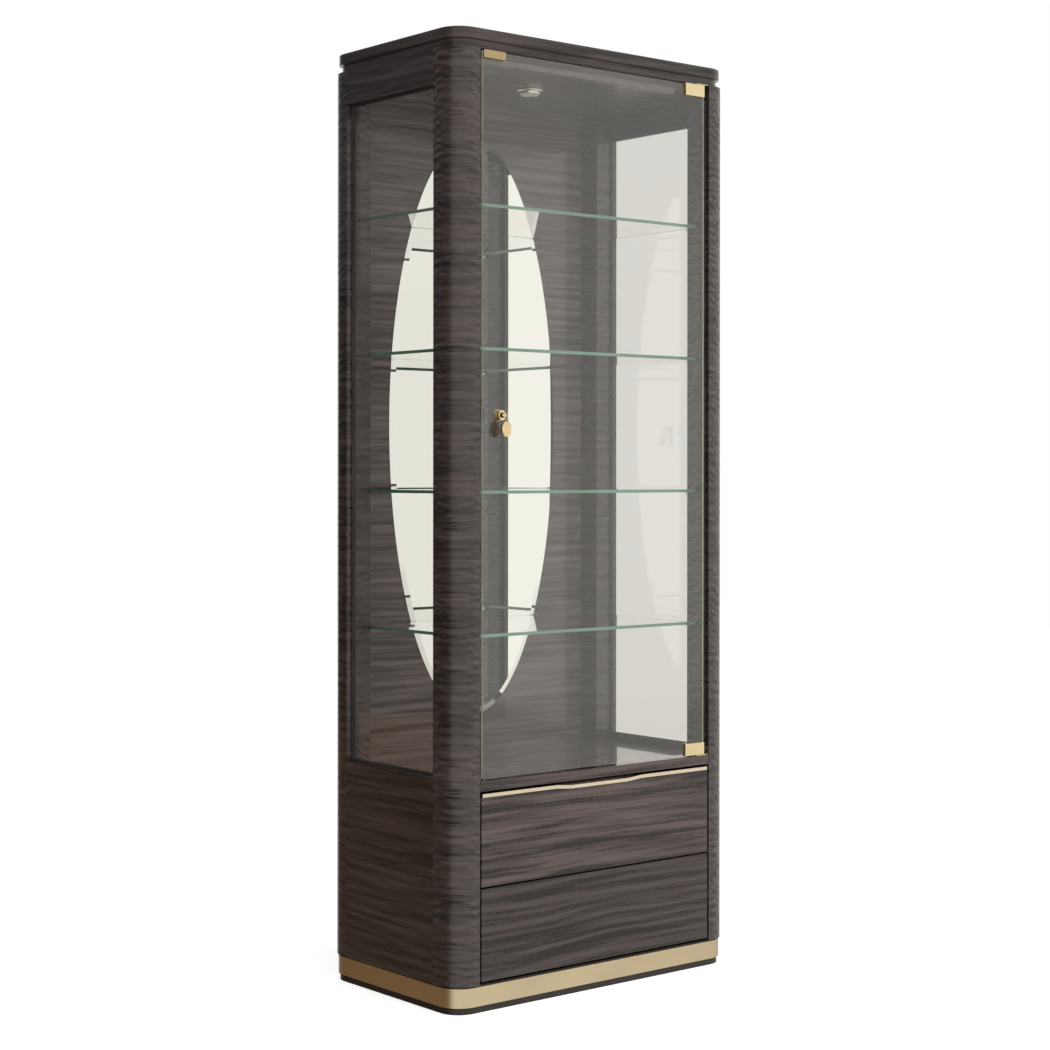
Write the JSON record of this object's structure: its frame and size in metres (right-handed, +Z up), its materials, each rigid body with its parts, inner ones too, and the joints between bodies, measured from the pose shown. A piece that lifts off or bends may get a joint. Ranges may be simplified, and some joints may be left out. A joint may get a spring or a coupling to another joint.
{
  "type": "china cabinet",
  "caption": "Tall glazed display cabinet with rounded corners, a frameless glass door, glass shelves, an oval mirror at the back, drawers below and brass trim",
  "frame": {"origin": "on the floor under the middle of the case, on the underside of the plinth's centre rail", "axes": "+X to the right seen from the front, +Y to the back, +Z up"},
  "size_m": [0.76, 0.4581, 1.95],
  "materials": {
    "dark_veneer": "dark stained fiddleback veneer under a high-gloss lacquer",
    "black_lacquer": "satin black lacquer",
    "carcase_board": "dark stained board, matt",
    "brass": "brushed and lacquered, soft shine",
    "clear_glass": "clear, polished edges",
    "shelf_glass": "clear with green polished edges",
    "black_rubber": "matt",
    "silvered_mirror": "bevelled edge",
    "light_metal": "satin",
    "light_lens": "frosted",
    "drawer_wood": "satin lacquer",
    "runner_plastic": "matt"
  },
  "bodies": {
    "case": {"front_left_post": "dark_veneer", "front_right_post": "dark_veneer", "rear_left_post": "dark_veneer", "rear_right_post": "dark_veneer", "left_lower_side": "dark_veneer", "right_lower_side": "dark_veneer", "left_top_rail": "dark_veneer", "right_top_rail": "dark_veneer", "front_rail": "dark_veneer", "display_floor": "dark_veneer", "ceiling_board": "dark_veneer", "door_stop_strip": "dark_veneer", "neck_board": "dark_veneer", "top_slab": "dark_veneer", "back_panel": "dark_veneer", "plinth_frame": "black_lacquer", "bottom_board": "carcase_board", "brass_band_front": "brass", "brass_band_left": "brass", "brass_band_right": "brass", "brass_band_back": "brass", "brass_band_corners": "brass", "hinge_bearing_plates": "brass", "lock_strike": "brass", "left_side_pane": "clear_glass", "right_side_pane": "clear_glass", "glass_shelf_1": "shelf_glass", "glass_shelf_2": "shelf_glass", "glass_shelf_3": "shelf_glass", "glass_shelf_4": "shelf_glass", "left_pane_gasket": "black_rubber", "right_pane_gasket": "black_rubber", "door_edge_seals": "black_rubber", "oval_mirror": "silvered_mirror", "light_housing": "light_metal", "shelf_pins": "light_metal", "light_lens": "light_lens", "upper_drawer_runners": "runner_plastic", "lower_drawer_runners": "runner_plastic", "catch_magnet": "runner_plastic"},
    "door": {"door_glass": "clear_glass", "upper_hinge_clamp": "brass", "lower_hinge_clamp": "brass", "catch_plate": "brass", "lock_housing": "brass"},
    "key": {"lock_plug": "brass", "door_key": "brass"},
    "fob": {"key_ring": "brass", "key_fob": "brass"},
    "upper_drawer": {"upper_drawer_front": "dark_veneer", "upper_drawer_pull": "brass", "upper_drawer_left_side": "drawer_wood", "upper_drawer_right_side": "drawer_wood", "upper_drawer_back": "drawer_wood", "upper_drawer_bottom": "drawer_wood"},
    "lower_drawer": {"lower_drawer_front": "dark_veneer", "lower_drawer_left_side": "drawer_wood", "lower_drawer_right_side": "drawer_wood", "lower_drawer_back": "drawer_wood", "lower_drawer_bottom": "drawer_wood"}
  },
  "joints": [
    {"name": "door_hinge", "type": "hinge", "parent": "case", "child": "door", "pos_m": [0.292, -0.2115, 0.9845], "axis": [0, 0, 1], "range_deg": [0, 105]},
    {"name": "key_turn", "type": "hinge", "parent": "door", "child": "key", "pos_m": [-0.26, -0.2115, 1.184], "axis": [0, 1, 0], "range_deg": [0, 90]},
    {"name": "fob_swing", "type": "hinge", "parent": "key", "child": "fob", "pos_m": [-0.26, -0.2315, 1.1785], "axis": [0, 1, 0], "range_deg": [-100, 100]},
    {"name": "upper_drawer_slide", "type": "slide", "parent": "case", "child": "upper_drawer", "axis": [0, -1, 0], "range_m": [0, 0.28]},
    {"name": "lower_drawer_slide", "type": "slide", "parent": "case", "child": "lower_drawer", "axis": [0, -1, 0], "range_m": [0, 0.28]}
  ]
}
